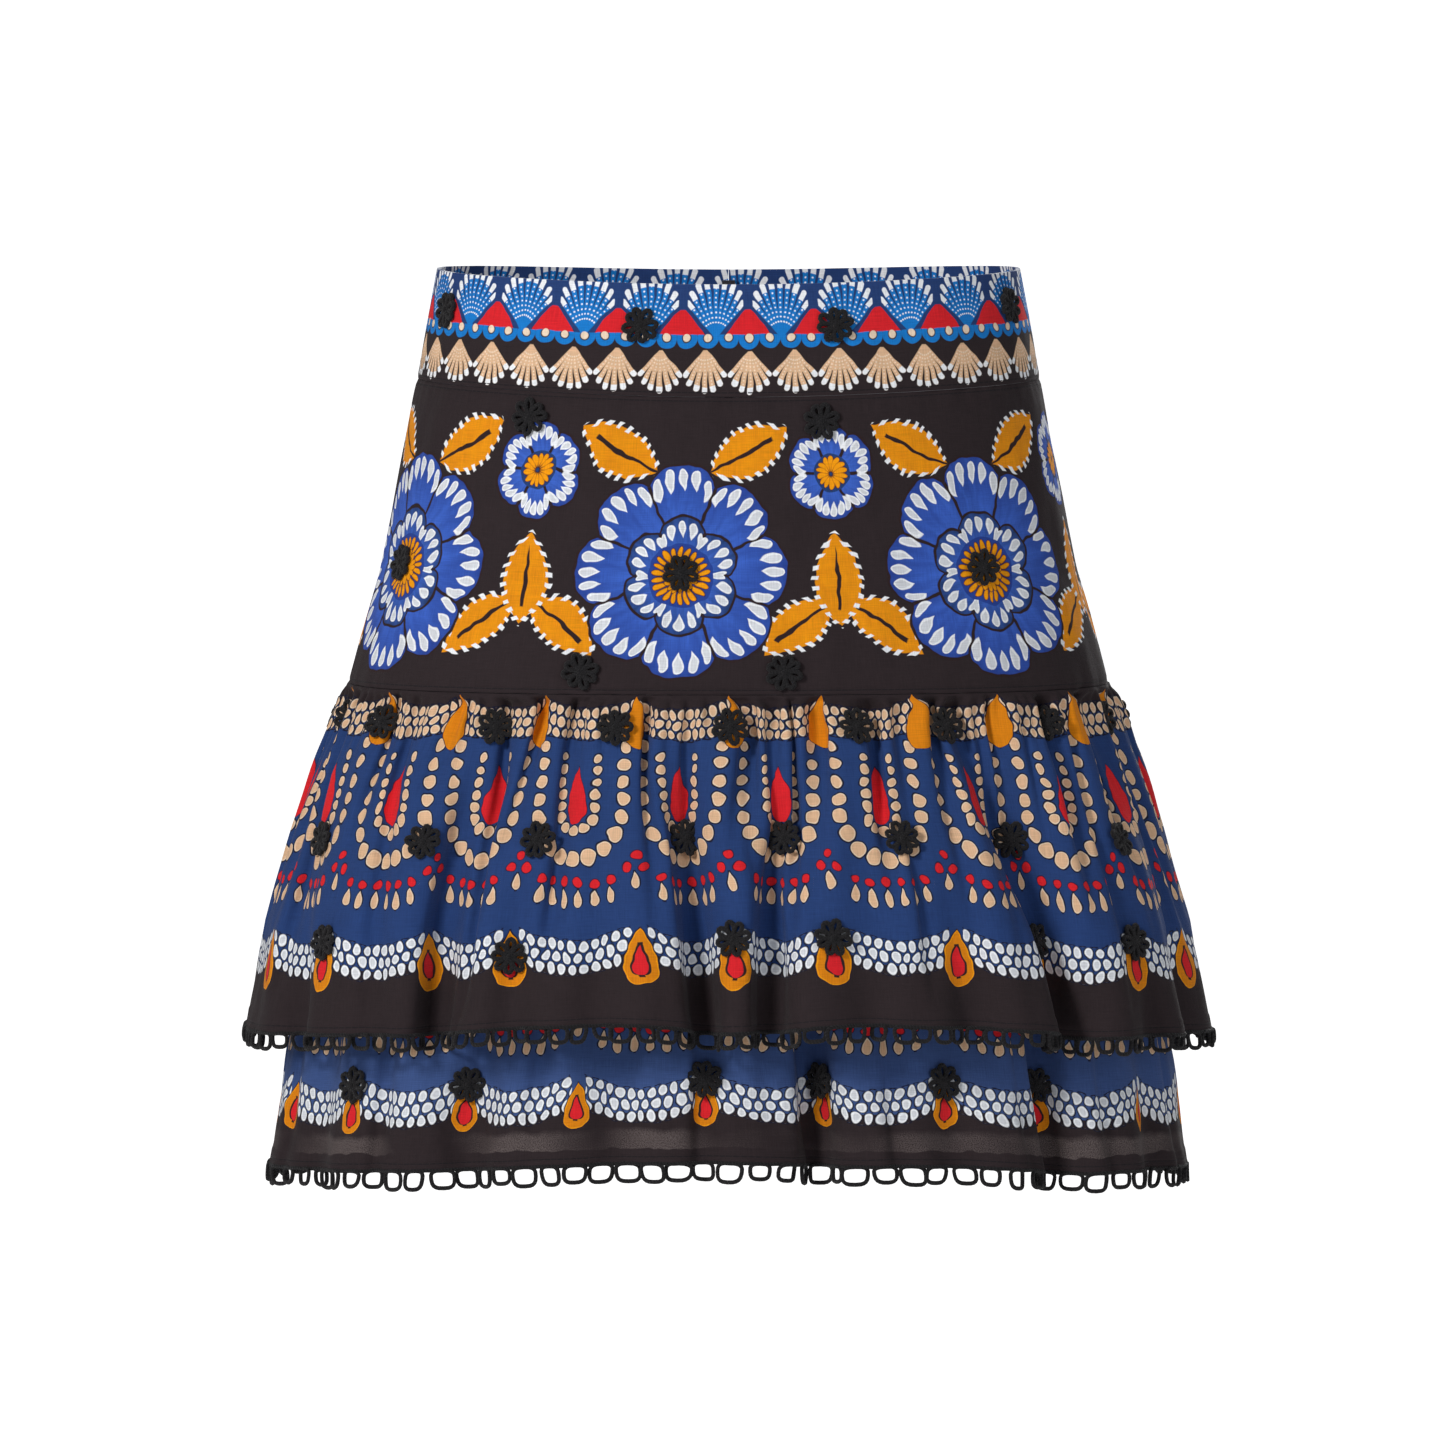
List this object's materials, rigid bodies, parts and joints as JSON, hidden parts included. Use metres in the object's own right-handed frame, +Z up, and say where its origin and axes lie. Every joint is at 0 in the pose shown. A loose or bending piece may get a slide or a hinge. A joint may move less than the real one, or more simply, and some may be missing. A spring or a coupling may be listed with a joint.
{
  "type": "mini skirt",
  "caption": "Printed cotton mini skirt with a shaped waistband, plain hip panel, two gathered tiers edged in looped crochet trim, sewn crochet flowers and a back zip.",
  "frame": {"origin": "middle of the waist opening, level with the top of the waistband at the side seams", "axes": "+Z up, -Y to the front of the skirt, +X to the wearer's left"},
  "size_m": [0.4434, 0.322, 0.424],
  "materials": {
    "waistband_print": "matte",
    "hip_print": "matte",
    "tier_print": "matte",
    "crochet_cotton": "matte",
    "zip_tape": "matte",
    "zip_metal": "satin"
  },
  "bodies": {
    "skirt": {"waistband_front": "waistband_print", "waistband_back_left": "waistband_print", "waistband_back_right": "waistband_print", "hip_panel_front": "hip_print", "hip_panel_back_left": "hip_print", "hip_panel_back_right": "hip_print", "upper_tier_front": "tier_print", "upper_tier_back": "tier_print", "lower_tier_front": "tier_print", "lower_tier_back": "tier_print", "upper_trim_front": "crochet_cotton", "upper_trim_back": "crochet_cotton", "lower_trim_front": "crochet_cotton", "lower_trim_back": "crochet_cotton", "zip_tape": "zip_tape", "zip_slider": "zip_metal"},
    "zip_pull": {"zip_pull": "zip_metal"}
  },
  "joints": [
    {"name": "zip_pull_swing", "type": "hinge", "parent": "skirt", "child": "zip_pull", "pos_m": [0, 0.09544, -0.013], "axis": [1, 0, 0], "range_deg": [0, 150]}
  ]
}
